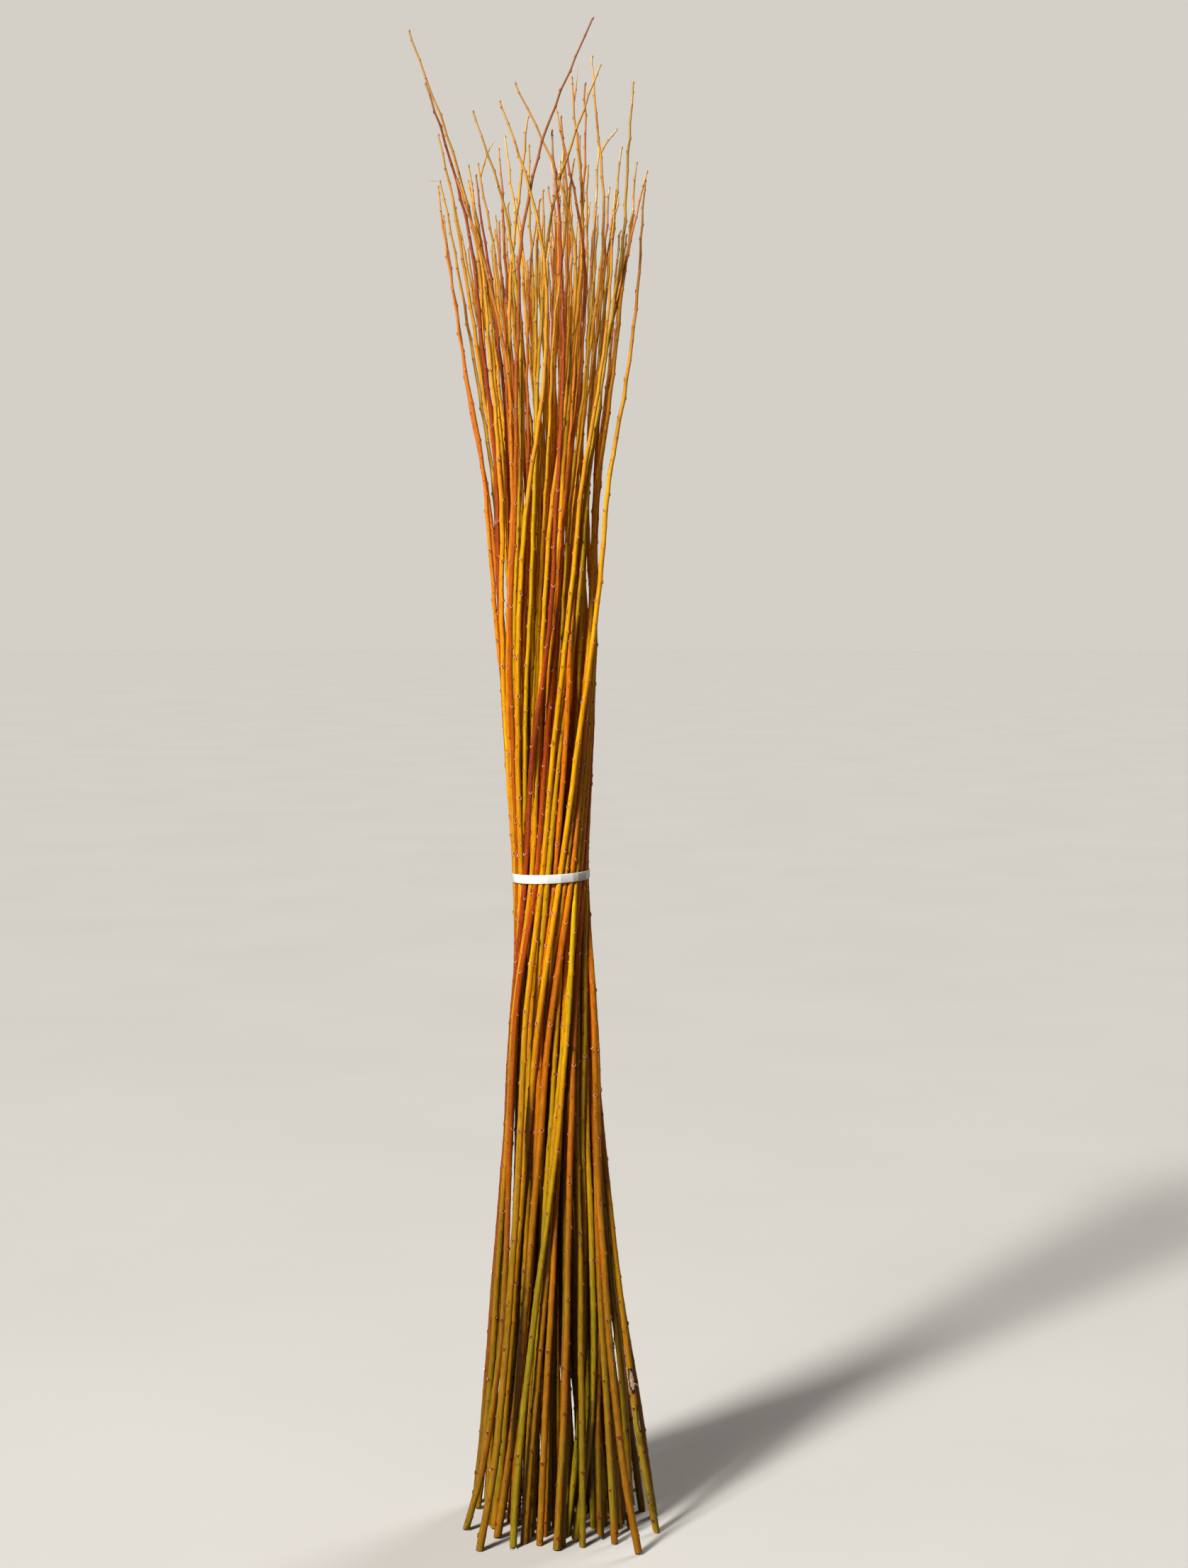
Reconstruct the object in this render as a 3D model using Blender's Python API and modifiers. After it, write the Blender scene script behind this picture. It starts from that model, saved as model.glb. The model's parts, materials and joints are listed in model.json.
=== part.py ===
"""A bundle of long willow rods, tied at mid height and standing on its splayed cut ends.

Metres, +Z up, the front of the bundle towards -Y. Every rod is one grown piece, from its cut butt on
the floor to its tip. The bundle is twisted, so its rods are nearly straight lines of a hyperboloid:
they pass side by side through the tie and part from each other above it and below it.
"""
import math

import bmesh
import bpy
import numpy as np

MM = 0.001

# Driving dimensions of the bundle
TIE_HEIGHT = 900 * MM
TIE_RADIUS = 52.8 * MM
FOOT_RADIUS = 136 * MM
AXIS_LEAN = -0.0182
AXIS_CURVE = 0.0033
SPREAD_AT_TIE = 0.74
SPREAD_HIGHER_UP = 0.30

# Driving dimensions of a rod
BUTT_DIAMETER = 9.9 * MM
BUTT_SPREAD = 0.09
TIP_DIAMETER = 1.9 * MM
TAPER_PER_METRE = 0.30
THIN_END_LENGTH = 0.36
CLEARANCE = 0.5 * MM
ROD_LEVELS = np.array([
    -0.02, 0.08, 0.20, 0.36, 0.54, 0.72, TIE_HEIGHT, 1.07, 1.24, 1.42, 1.60, 1.75, 1.88, 2.10,
])
TIE_LEVEL = 6

# How much wider than a plain twist the bundle is at each of these levels
GIRTHS = np.array([1.0, 1.0, 1.0, 0.965, 0.92, 0.94, 1.0, 1.11, 1.08, 0.96, 1.0, 1.0, 1.0, 1.0])

# Driving dimensions of the band
BAND_HEIGHT = 12 * MM
BAND_THICKNESS = 0.9 * MM
BAND_TILT = math.radians(2.5)
BAND_STEP = math.radians(6)
BAND_START = math.radians(68)
LAP_ANGLE = math.radians(42)
LAP_RISE_ANGLE = math.radians(18)
LAP_GAP = 0.3 * MM

# The tips were read from one place in front, as if they all stood over the bundle's middle. This is
# where that place is: how far in front of the middle, how far to the right and how high.
VIEW_DISTANCE = 3370 * MM
VIEW_SIDE = 45 * MM
VIEW_HEIGHT = 1276 * MM

# Heights where the shape of the front rods was read
LOW_HEIGHT = 194 * MM
MIDDLE_HEIGHT = 443 * MM
HIGH_HEIGHT = 1329 * MM

# Length of the last stretch, which bends to the tip, and how far a crossing rod is lifted to the
# front for each millimetre that it runs aside
BEND_LENGTH = 0.25
CROSSING_LIFT = 0.5

# The rods round the outside of the tie. Each has its bark, its angle round the tie in degrees
# from the front towards the right, and in millimetres its foot (x, y), then x at the low, middle
# and high reading. None leaves a value to the twist of the bundle.
OUTER_RODS = [
    ("olive", -77, None, None, None, None),
    ("russet", -66, None, None, None, -61),
    ("golden", -55, None, None, None, -62),
    ("crimson", -44, (-122, 58), -104, -88, 6),
    ("golden", -32.5, (-118, 36), -99, -85, -19),
    ("russet", -22, (-130, -44), -90, -76, 4),
    ("golden", -12, (-108, -118), -80, -64, 10),
    ("olive", -2, (-105, -8), -78, -52, None),
    ("amber", 6.5, (-66, -24), -58, -45, 16),
    ("golden", 17, (-92, -39), -74, -57, 50),
    ("golden", 26, (-100, -22), -70, -48, None),
    ("amber", 35, (-86, -73), -60, -39, None),
    ("olive", 44, (-64, -110), -49, -18, None),
    ("golden", 54, (-50, -92), -34, -14, None),
    ("russet", 65, (-5, -118), 5, 13, None),
    ("olive", 79, (8, -60), 28, 37, None),
    ("amber", 90, (105, -131), 75, 58, None),
    ("olive", 100, (19, -86), 43, 45, None),
    ("amber", 110, (52, -78), 50, 54, None),
    ("golden", 120, (96, -37), 85, 66, None),
    ("golden", 131, (131, -52), 98, 68, None),
    ("crimson", 142, (110, 118), 86, 62, None),
    ("golden", 153, (86, 148), None, None, None),
    ("amber", 163, None, None, None, None),
    ("golden", 174, None, None, None, None),
    ("olive", 185, None, None, None, None),
    ("golden", 196, None, None, None, None),
    ("russet", 207, None, None, None, None),
    ("golden", 217, None, None, None, None),
    ("amber", 228, None, None, None, None),
    ("golden", 239, None, None, None, None),
    ("crimson", 250, None, None, None, None),
    ("golden", 261, None, None, None, None),
    ("amber", 272, None, None, None, None),
]

# The rods inside: for each ring its radius in the tie in millimetres and the bark of its rods.
INNER_RINGS = [
    (38.5, ["golden", "olive", "amber", "golden", "russet", "golden", "olive", "golden", "amber",
            "crimson", "golden", "olive", "golden"]),
    (23.5, ["amber", "golden", "olive", "golden", "russet", "golden", "amber"]),
    (9.0, ["golden", "olive", "amber"]),
]

# Tips that stand out, in millimetres: x and height of the tip, and x a bend length below it.
TIPS = [
    (-203, 2031, -118), (-179, 1961, -113), (-165, 1825, -128), (-162, 1832, -114),
    (-156, 1786, -124), (-139, 1836, -71), (-123, 1853, -95), (-113, 1840, -81),
    (-115, 1925, -53), (-83, 1875, -67), (-82, 1935, -11), (-59, 1960, 27),
    (-43, 1917, -71), (-12, 1897, 4), (-9, 1931, 37), (1, 1917, 9),
    (16, 1968, 28), (35, 1960, 26), (42, 1996, 56), (43, 2046, -52),
    (53, 1985, -24), (98, 1962, 78), (115, 1843, 61), (114, 1832, 92),
    (102, 1856, 75), (74, 1801, 52),
]
OTHER_TIPS = (1765 * MM, 1915 * MM)

# Colour of the bark in linear RGB, and its roughness
BARKS = {
    "golden": ((0.95, 0.42, 0.01), 0.38),
    "amber": ((0.80, 0.24, 0.01), 0.38),
    "russet": ((0.52, 0.09, 0.01), 0.40),
    "crimson": ((0.30, 0.02, 0.01), 0.42),
    "olive": ((0.32, 0.24, 0.02), 0.45),
}
BAND_COLOUR = (0.86, 0.86, 0.84)

SEED = 11
PUSH_ROUNDS = 900


def clear_scene():
    for thing in list(bpy.data.objects):
        bpy.data.objects.remove(thing, do_unlink=True)


def new_collection(name):
    collection = bpy.data.collections.new(name)
    bpy.context.scene.collection.children.link(collection)
    return collection


def plain_material(name, colour, roughness):
    material = bpy.data.materials.new(name)
    material.use_nodes = True
    shader = material.node_tree.nodes["Principled BSDF"]
    shader.inputs["Base Color"].default_value = (*colour, 1.0)
    shader.inputs["Roughness"].default_value = roughness
    shader.inputs["Metallic"].default_value = 0.0
    return material


def axis_x(height):
    """Sideways lean of the bundle's middle line."""
    return AXIS_LEAN * height + AXIS_CURVE * height ** 2


def twist_line(tie_x, tie_y, height):
    """Where a rod that crosses the tie at (tie_x, tie_y) from the axis is at another height."""
    slope = math.sqrt(FOOT_RADIUS ** 2 - TIE_RADIUS ** 2) / (TIE_HEIGHT * TIE_RADIUS)
    rise = height - TIE_HEIGHT
    turn = slope * rise
    if rise > 0:
        turn *= SPREAD_AT_TIE + SPREAD_HIGHER_UP * rise ** 2
    return np.array([tie_x - turn * tie_y + axis_x(height), tie_y + turn * tie_x])


def smooth_through(heights, values, height):
    """Value at a height, on the smooth curve through a few readings."""
    weights = np.polyfit(heights, values, len(heights) - 1)
    return float(np.polyval(weights, height))


class Rod:
    """One shoot: where it crosses the tie, its bark, its thickness and its route."""

    def __init__(self, bark, tie_angle, tie_radius, butt):
        self.bark = bark
        self.butt = butt
        self.tie_x = tie_radius * math.sin(tie_angle)
        self.tie_y = -tie_radius * math.cos(tie_angle)
        self.foot = self.twisted(0.0)
        self.readings = {}
        self.high_x = None
        self.tip_height = None
        self.bend_x = None
        self.tip_x = None

    def twisted(self, height):
        return twist_line(self.tie_x, self.tie_y, height)

    def below(self, height):
        """Place under the tie, from the foot and the readings of x."""
        share = (TIE_HEIGHT - height) / TIE_HEIGHT
        place = self.twisted(height) + (self.foot - self.twisted(0.0)) * share ** 1.2
        if self.readings:
            heights = [0.0, LOW_HEIGHT, MIDDLE_HEIGHT, TIE_HEIGHT]
            at_tie = self.twisted(TIE_HEIGHT)[0]
            values = [self.foot[0], self.readings["low"], self.readings["middle"], at_tie]
            place[0] = smooth_through(heights, values, height)
        return place

    def above(self, height):
        """Place over the tie, from the high reading and the tip.

        A rod that crosses its neighbours lies in front of them, so it is lifted towards the front.
        """
        place = self.twisted(height)
        rise = height - TIE_HEIGHT
        aside = 0.0
        if self.high_x is not None:
            aside = self.high_x - self.twisted(HIGH_HEIGHT)[0]
            share = min(1.0, rise / (HIGH_HEIGHT - TIE_HEIGHT))
            place[0] += aside * share ** 1.3
            place[1] -= abs(aside) * CROSSING_LIFT * min(1.0, 2 * share)
        if self.tip_x is None:
            return place
        bend_height = self.tip_height - BEND_LENGTH
        bend = self.bend_x - self.twisted(bend_height)[0] - aside
        place[0] += bend * min(1.0, rise / (bend_height - TIE_HEIGHT)) ** 1.8
        if height > bend_height:
            past = (height - bend_height) / BEND_LENGTH
            straight = self.twisted(self.tip_height)[0] + aside + bend
            place[0] += (self.tip_x - straight) * past ** 1.4
        return place

    def place(self, height):
        return self.below(height) if height < TIE_HEIGHT else self.above(height)

    def radius(self, height):
        body = self.butt / 2 * (1 - TAPER_PER_METRE * max(height, 0.0))
        left = min(1.0, max(0.0, self.tip_height - height) / THIN_END_LENGTH)
        return TIP_DIAMETER / 2 + (body - TIP_DIAMETER / 2) * left ** 0.75


def lay_out_rods(random):
    """All rods: the outer ones as read, and the inner rings."""
    rods = []
    for bark, angle, foot, low, middle, high in OUTER_RODS:
        butt = BUTT_DIAMETER * (1 + BUTT_SPREAD * random.uniform(-1, 1))
        at_tie = butt / 2 * (1 - TAPER_PER_METRE * TIE_HEIGHT)
        rod = Rod(bark, math.radians(angle), TIE_RADIUS - at_tie - CLEARANCE, butt)
        if foot is not None:
            rod.foot = np.array(foot) * MM
        else:
            rod.foot = rod.foot * random.uniform(0.86, 1.06) + random.uniform(-6, 6, 2) * MM
        if low is not None:
            rod.readings = {"low": low * MM, "middle": middle * MM}
        if high is not None:
            rod.high_x = high * MM
        rods.append(rod)
    for number, (ring_radius, barks) in enumerate(INNER_RINGS):
        for index, bark in enumerate(barks):
            angle = 2 * math.pi * (index + 0.5 * number) / len(barks) + random.uniform(-0.12, 0.12)
            butt = BUTT_DIAMETER * (1 - BUTT_SPREAD * random.uniform(0, 1.6))
            rod = Rod(bark, angle, ring_radius * MM + random.uniform(-2, 2) * MM, butt)
            rod.foot = rod.foot * random.uniform(0.82, 1.12) + random.uniform(-7, 7, 2) * MM
            rods.append(rod)
    return rods


def share_out_tips(rods, random):
    """Give every tip that stands out to the free rod that already points nearest to it."""
    free = list(rods)
    for tip_x, tip_height, bend_x in TIPS:
        bend_height = tip_height * MM - BEND_LENGTH

        def miss(rod):
            x, y = rod.twisted(bend_height)
            return abs(x - bend_x * MM) + 0.25 * y

        rod = min(free, key=miss)
        free.remove(rod)
        depth = rod.twisted(tip_height * MM)[1]
        nearness = (VIEW_DISTANCE + depth) / VIEW_DISTANCE
        rod.tip_x = VIEW_SIDE + (tip_x * MM - VIEW_SIDE) * nearness
        rod.bend_x = VIEW_SIDE + (bend_x * MM - VIEW_SIDE) * nearness
        rod.tip_height = VIEW_HEIGHT + (tip_height * MM - VIEW_HEIGHT) * nearness
    for rod in free:
        rod.tip_height = random.uniform(*OTHER_TIPS)


def route_of(rod):
    """Points of a rod at every level. The last stretch leads to its tip and straight on past it."""
    levels_under_tip = ROD_LEVELS[ROD_LEVELS < rod.tip_height]
    last = levels_under_tip[-1]
    points = [rod.place(height) for height in levels_under_tip]
    reach = (ROD_LEVELS[len(points)] - last) / (rod.tip_height - last)
    step = (rod.place(rod.tip_height) - points[-1]) * reach
    while len(points) < len(ROD_LEVELS):
        points.append(points[-1] + step)
    return np.array(points)


def push_apart(points, radii):
    """Move rods that would touch away from each other until every pair keeps its clearance.

    points has one row for each level and one column for each rod. Between two levels a rod is
    straight, so the nearest place of a pair there is found exactly.
    """
    apart = ~np.eye(points.shape[1], dtype=bool)
    ring_room = TIE_RADIUS - radii[TIE_LEVEL] - CLEARANCE
    middle = np.array([axis_x(TIE_HEIGHT), 0.0])
    for _ in range(PUSH_ROUNDS):
        between = points[:, :, None] - points[:, None]
        start, change = between[:-1], between[1:] - between[:-1]
        length = (change ** 2).sum(-1) + 1e-12
        along = np.clip(-(start * change).sum(-1) / length, 0, 1)
        nearest = start + along[..., None] * change
        distance = np.sqrt((nearest ** 2).sum(-1)) + 1e-9
        low, high = radii[:-1], radii[1:]
        thickness = (low[:, :, None] + low[:, None]) * (1 - along)
        thickness += (high[:, :, None] + high[:, None]) * along
        short = np.clip(thickness + CLEARANCE - distance, 0, None) * apart
        if short.max() < 0.02 * MM:
            break
        push = nearest / distance[..., None] * (0.5 * short)[..., None]
        spread = (1 - along) ** 2 + along ** 2
        points[:-1] += 0.6 * (push * ((1 - along) / spread)[..., None]).sum(2)
        points[1:] += 0.6 * (push * (along / spread)[..., None]).sum(2)
        from_middle = points[TIE_LEVEL] - middle
        reach = np.sqrt((from_middle ** 2).sum(-1))
        points[TIE_LEVEL] = middle + from_middle * np.minimum(1, ring_room / reach)[:, None]
    return points


def rod_solid(name, route, radii, material, collection):
    """A tapered tube along the route, cut off flat on the floor."""
    curve = bpy.data.curves.new(name + "_route", "CURVE")
    curve.dimensions = "3D"
    curve.bevel_depth = radii[0]
    curve.bevel_resolution = 1
    curve.use_fill_caps = True
    spline = curve.splines.new("POLY")
    spline.points.add(len(route) - 1)
    for point, place, radius in zip(spline.points, route, radii):
        point.co = (*place, 1.0)
        point.radius = radius / radii[0]
    tube = bpy.data.objects.new(name + "_route", curve)
    collection.objects.link(tube)
    graph = bpy.context.evaluated_depsgraph_get()
    mesh = bpy.data.meshes.new_from_object(tube.evaluated_get(graph))
    bpy.data.objects.remove(tube, do_unlink=True)
    bpy.data.curves.remove(curve)

    work = bmesh.new()
    work.from_mesh(mesh)
    bmesh.ops.remove_doubles(work, verts=work.verts, dist=0.01 * MM)
    everything = work.verts[:] + work.edges[:] + work.faces[:]
    cut = bmesh.ops.bisect_plane(
        work, geom=everything, plane_co=(0, 0, 0), plane_no=(0, 0, 1), clear_inner=True
    )
    rim = [item for item in cut["geom_cut"] if isinstance(item, bmesh.types.BMEdge)]
    bmesh.ops.contextual_create(work, geom=rim)
    bmesh.ops.recalc_face_normals(work, faces=work.faces)
    work.to_mesh(mesh)
    work.free()

    mesh.name = name
    mesh.materials.clear()
    mesh.materials.append(material)
    rod = bpy.data.objects.new(name, mesh)
    collection.objects.link(rod)
    return rod


def band_solid(material, collection):
    """A flat strap once round the tie, its outer end lapped over its start at the back."""
    full_turn = 2 * math.pi
    steps = round((full_turn + LAP_ANGLE) / BAND_STEP)
    work = bmesh.new()
    columns = []
    for index in range(steps + 1):
        angle = index * BAND_STEP
        climb = min(1.0, max(0.0, (angle - full_turn + LAP_RISE_ANGLE) / LAP_RISE_ANGLE))
        radius = TIE_RADIUS + climb * (BAND_THICKNESS + LAP_GAP)
        x = axis_x(TIE_HEIGHT) + radius * math.cos(BAND_START + angle)
        y = radius * math.sin(BAND_START + angle)
        middle = TIE_HEIGHT + (x - axis_x(TIE_HEIGHT)) * math.tan(BAND_TILT)
        columns.append([work.verts.new((x, y, middle + side * BAND_HEIGHT / 2)) for side in (-1, 1)])
    for before, after in zip(columns, columns[1:]):
        work.faces.new((before[0], after[0], after[1], before[1]))
    mesh = bpy.data.meshes.new("band")
    work.to_mesh(mesh)
    work.free()
    mesh.materials.append(material)
    band = bpy.data.objects.new("band", mesh)
    collection.objects.link(band)
    wall = band.modifiers.new("strap thickness", "SOLIDIFY")
    wall.thickness = BAND_THICKNESS
    wall.offset = 1.0
    return band


def main():
    clear_scene()
    collection = new_collection("willow_bundle")
    materials = {}
    for bark, (colour, roughness) in BARKS.items():
        materials[bark] = plain_material(bark + "_bark", colour, roughness)
    materials["band"] = plain_material("band_plastic", BAND_COLOUR, 0.25)

    random = np.random.default_rng(SEED)
    rods = lay_out_rods(random)
    share_out_tips(rods, random)
    points = np.stack([route_of(rod) for rod in rods], axis=1)
    axis = np.column_stack([axis_x(ROD_LEVELS), np.zeros(len(ROD_LEVELS))])[:, None]
    points = axis + (points - axis) * GIRTHS[:, None, None]
    radii = np.array([[rod.radius(height) for rod in rods] for height in ROD_LEVELS])
    points = push_apart(points, radii)

    parts = [band_solid(materials["band"], collection)]
    for index, rod in enumerate(rods):
        count = int((ROD_LEVELS < rod.tip_height - 5 * MM).sum())
        route = [(*points[level, index], ROD_LEVELS[level]) for level in range(count)]
        last, following = ROD_LEVELS[count - 1], ROD_LEVELS[count]
        share = (rod.tip_height - last) / (following - last)
        end = points[count - 1, index] * (1 - share) + points[count, index] * share
        route.append((*end, rod.tip_height))
        thickness = [rod.radius(height) for *_, height in route]
        name = f"rod_{index + 1:02d}"
        parts.append(rod_solid(name, route, thickness, materials[rod.bark], collection))

    corners = np.array([tuple(vertex.co) for part in parts for vertex in part.data.vertices])
    middle = (corners.min(0) + corners.max(0)) / 2
    holder = bpy.data.objects.new("bundle", None)
    holder.location = (-middle[0], -middle[1], 0.0)
    collection.objects.link(holder)
    for part in parts:
        part.parent = holder
    print("rods", len(rods), "box", corners.min(0), corners.max(0), "middle", middle)


main()
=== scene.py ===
# %% [markdown]
# A bundle of long willow rods stands on its splayed cut ends, tied once at mid height with a flat
# white strap. The solids that carry it are already made and packed: one plain tapered tube for each
# rod and one plain loop for the strap. This lesson dresses them. Every rod gets its real skin, with
# swollen joints, buds and leaf scars, and the strap gets rounded edges and its sealed lap. The skins,
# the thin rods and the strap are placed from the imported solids, so they need no fitting afterwards.

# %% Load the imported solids
import json
import math

import bmesh
import bpy
import numpy as np
from mathutils import Matrix, Vector, noise


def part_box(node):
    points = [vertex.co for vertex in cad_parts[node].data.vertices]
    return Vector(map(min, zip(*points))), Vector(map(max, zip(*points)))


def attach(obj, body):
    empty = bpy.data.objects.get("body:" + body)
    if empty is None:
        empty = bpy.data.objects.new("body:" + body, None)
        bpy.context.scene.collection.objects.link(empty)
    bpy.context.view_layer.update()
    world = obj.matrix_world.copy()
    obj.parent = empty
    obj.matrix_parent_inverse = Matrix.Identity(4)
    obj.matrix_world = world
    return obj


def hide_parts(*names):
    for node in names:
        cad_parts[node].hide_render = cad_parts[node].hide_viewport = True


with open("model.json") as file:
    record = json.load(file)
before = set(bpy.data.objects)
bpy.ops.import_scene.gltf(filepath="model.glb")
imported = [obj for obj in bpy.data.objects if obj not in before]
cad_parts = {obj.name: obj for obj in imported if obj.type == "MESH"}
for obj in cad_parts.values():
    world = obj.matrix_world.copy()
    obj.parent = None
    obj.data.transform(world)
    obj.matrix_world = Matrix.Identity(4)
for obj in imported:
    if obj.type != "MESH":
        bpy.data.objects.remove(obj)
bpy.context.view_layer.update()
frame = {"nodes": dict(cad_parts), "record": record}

MM = 0.001
SEED = 29
BODY = "root"
slot_of = {part["node"]: part["material_slot"] for part in frame["record"]["subparts"]}
rod_names = sorted(name for name in frame["nodes"] if name.startswith("rod_"))
strap_low, strap_high = (Vector(corner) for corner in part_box("band"))
tie_middle = (strap_low + strap_high) / 2


def show(item):
    """Put an object into the scene and hand it back."""
    bpy.context.scene.collection.objects.link(item)
    return item


# %% [markdown]
# The camera comes first, because every later choice is judged through it. The bundle was seen from
# its front, a little over mid height, with a slightly long lens that looks a few degrees down. The
# base of the bundle isn't at the middle of the box, because two tips reach far to the left, so the
# camera is placed from the middle of the feet.

# %% Camera
CAMERA_DISTANCE = 3.37
CAMERA_HEIGHT = 1.2756
CAMERA_SIDE = 0.0453
CAMERA_PITCH = math.radians(4.26)
LENS_LENGTH = 57.04
SENSOR_WIDTH = 36.0
FEET_MIDDLE = Vector((0.0297, 0.0101, 0.0))

lens = bpy.data.cameras.new("camera")
lens.lens = LENS_LENGTH
lens.sensor_width = SENSOR_WIDTH
camera = show(bpy.data.objects.new("camera", lens))
camera.location = FEET_MIDDLE + Vector((CAMERA_SIDE, -CAMERA_DISTANCE, CAMERA_HEIGHT))
camera.rotation_euler = (math.pi / 2 - CAMERA_PITCH, 0.0, 0.0)
bpy.context.scene.camera = camera
print("camera at", tuple(round(value, 3) for value in camera.location))

# %% [markdown]
# A rod's solid is a stack of rings. Their middles give the line that the rod follows and their size
# gives its thickness. The vertices of a ring lie at nearly one height, and the next ring is always
# centimetres away, so sorting the vertices by height and cutting the list at its gaps finds them.

# %% Read the line and thickness of a rod
RING_GAP = 2.5 * MM


def read_rings(node):
    """Middles and radii of the rings of a rod's solid, from its foot to its tip."""
    places = np.array([tuple(vertex.co) for vertex in node.data.vertices])
    places = np.unique(places.round(6), axis=0)
    places = places[np.argsort(places[:, 2])]
    cuts = np.nonzero(np.diff(places[:, 2]) > RING_GAP)[0] + 1
    rings = np.split(places, cuts)
    middles = np.array([ring.mean(0) for ring in rings])
    radii = np.array([np.linalg.norm(ring - ring.mean(0), axis=1).mean() for ring in rings])
    return middles, radii


rod_lines = {name: read_rings(frame["nodes"][name]) for name in rod_names}
print("rings of the first rod", len(rod_lines[rod_names[0]][0]))

# %% [markdown]
# Between its rings the solid is straight, but a living shoot bends evenly. A cubic through the rings,
# with its slopes taken from the neighbours, passes through every ring and has no corner in between.

# %% A smooth curve through readings at rising heights


def smooth_at(heights, values, at):
    """Values at the heights in `at`, on a cubic through the given readings."""
    slopes = np.gradient(values, heights, axis=0)
    index = np.clip(np.searchsorted(heights, at) - 1, 0, len(heights) - 2)
    gap = heights[index + 1] - heights[index]
    share = (at - heights[index]) / gap
    if values.ndim > 1:
        gap = gap[:, None]
        share = share[:, None]
    start, end = values[index], values[index + 1]
    rise_in, rise_out = slopes[index] * gap, slopes[index + 1] * gap
    square, cube = share ** 2, share ** 3
    return (
        (2 * cube - 3 * square + 1) * start + (cube - 2 * square + share) * rise_in
        + (3 * square - 2 * cube) * end + (cube - square) * rise_out
    )


# %% [markdown]
# A shoot grows joint by joint. At each joint it carries one bud, a bit further round than the last
# (two fifths of a turn), it swells a little, and it changes direction by a hair, which gives the fine
# zigzag of real twigs. The joints stand about 29 mm apart low down and closer near the tip. A shoot
# also stays over 2 mm thick to its very end, so a little is added that counts only where it is thin.
# All this is a short list of numbers for each ring of the new skin, worked out here and handed on to
# the node tree as attributes.

# %% The joints of a shoot
JOINT_GAP = 29 * MM
FIRST_JOINT = (5, 26)
DRIFT_WAVES = ((0.34, 1.1 * MM), (0.17, 0.55 * MM))
KINK_AT_FOOT = 0.16
KINK_GAIN = 0.95
RING_STEP = 0.4 * MM
BUD_TURN = math.radians(144)
SWELL_REACH = 3.0 * MM
SWELL_SIZE = 0.11
TIE_REACH = 13 * MM
CUT_ROOM = 4 * MM
END_EXTRA = 0.7 * MM
END_BUD_SIZE = 0.78


def joint_heights(low, tip, random):
    """Heights of the joints, closer together towards the tip."""
    heights = []
    height = low + random.uniform(*FIRST_JOINT) * MM
    while height < tip - 5 * MM:
        heights.append(height)
        share = height / tip
        height += JOINT_GAP * (1.06 - 0.36 * share ** 2) * random.uniform(0.82, 1.18)
    return np.array(heights)


def wander(heights, tip, random):
    """Slow side drift of a shoot, nothing at the floor and at the tie and most near the tip."""
    drift = np.zeros((len(heights), 2))
    free = np.clip(abs(heights - tie_middle.z) / 0.3, 0, 1) * np.clip(heights / 0.1, 0, 1)
    for wave, size in DRIFT_WAVES:
        phase = random.uniform(0, 2 * math.pi, 2)
        stretch = wave * random.uniform(0.8, 1.25)
        drift += size * np.sin(2 * math.pi * heights[:, None] / stretch + phase)
    return drift * (free * (0.45 + 0.7 * (heights / tip) ** 3))[:, None]


def grow_shoot(middles, radii, random):
    """One row for each ring of a shoot: its place, thickness, direction and bud."""
    levels = middles[:, 2]
    tip = levels[-1]
    joints = joint_heights(levels[0], tip, random)
    beside = [joints - SWELL_REACH, joints, joints + SWELL_REACH, (joints[1:] + joints[:-1]) / 2]
    heights = np.concatenate([[levels[0] - CUT_ROOM, tip], *beside])
    heights = np.unique(heights[heights <= tip])
    heights = heights[np.append(True, np.diff(heights) > RING_STEP)]

    turn = random.uniform(0, 2 * math.pi)
    angles = turn + BUD_TURN * np.arange(len(joints)) + random.uniform(-0.15, 0.15, len(joints))
    outward = np.stack([np.cos(angles), np.sin(angles), np.zeros(len(joints))], axis=1)
    share = joints / tip
    kink = (KINK_AT_FOOT + KINK_GAIN * share ** 3) * MM * random.uniform(0.4, 1.3, len(joints))
    kink *= np.clip(abs(joints - tie_middle.z) / 0.1, 0, 1)

    places = smooth_at(levels, middles, heights)
    places[:, 2] = heights
    places[:, :2] += wander(heights, tip, random)
    known = np.concatenate([[levels[0]], joints, [tip]])
    for axis in (0, 1):
        offset = np.concatenate([[0.0], kink * outward[:, axis], [0.0]])
        places[:, axis] += np.interp(heights, known, offset)

    nearest = abs(heights[:, None] - joints[None]).min(1)
    near = np.exp(-(nearest / SWELL_REACH) ** 2)
    thickness = np.hypot(np.maximum(smooth_at(levels, radii, heights), radii[-1]), END_EXTRA)
    thickness *= 0.985 + SWELL_SIZE * near

    run = np.gradient(places, heights, axis=0)
    run /= np.linalg.norm(run, axis=1)[:, None]
    bud_way = np.zeros((len(heights), 3))
    bud_way[:, 0] = 1.0
    bud_size = np.zeros(len(heights))
    for joint, way in zip(joints, outward):
        ring = int(abs(heights - joint).argmin())
        bud_way[ring] = way - run[ring] * way.dot(run[ring])
        if abs(joint - tie_middle.z) > TIE_REACH:
            bud_size[ring] = (0.50 + 0.50 * thickness[ring] / (4.5 * MM)) * random.uniform(0.85, 1.15)
    bud_way /= np.linalg.norm(bud_way, axis=1)[:, None]
    bud_size[-1] = END_BUD_SIZE
    return {
        "place": places, "radius": thickness, "run": run, "bud_way": bud_way, "bud_size": bud_size,
        "near": near, "along": heights + random.uniform(0, 50),
        "tone": np.full(len(heights), random.uniform()), "end": tip - heights,
    }


chance = np.random.default_rng(SEED)
shoots = {name: grow_shoot(*rod_lines[name], chance) for name in rod_names}
print("buds on all rods", sum(int((shoot["bud_size"] > 0).sum()) for shoot in shoots.values()))

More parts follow.
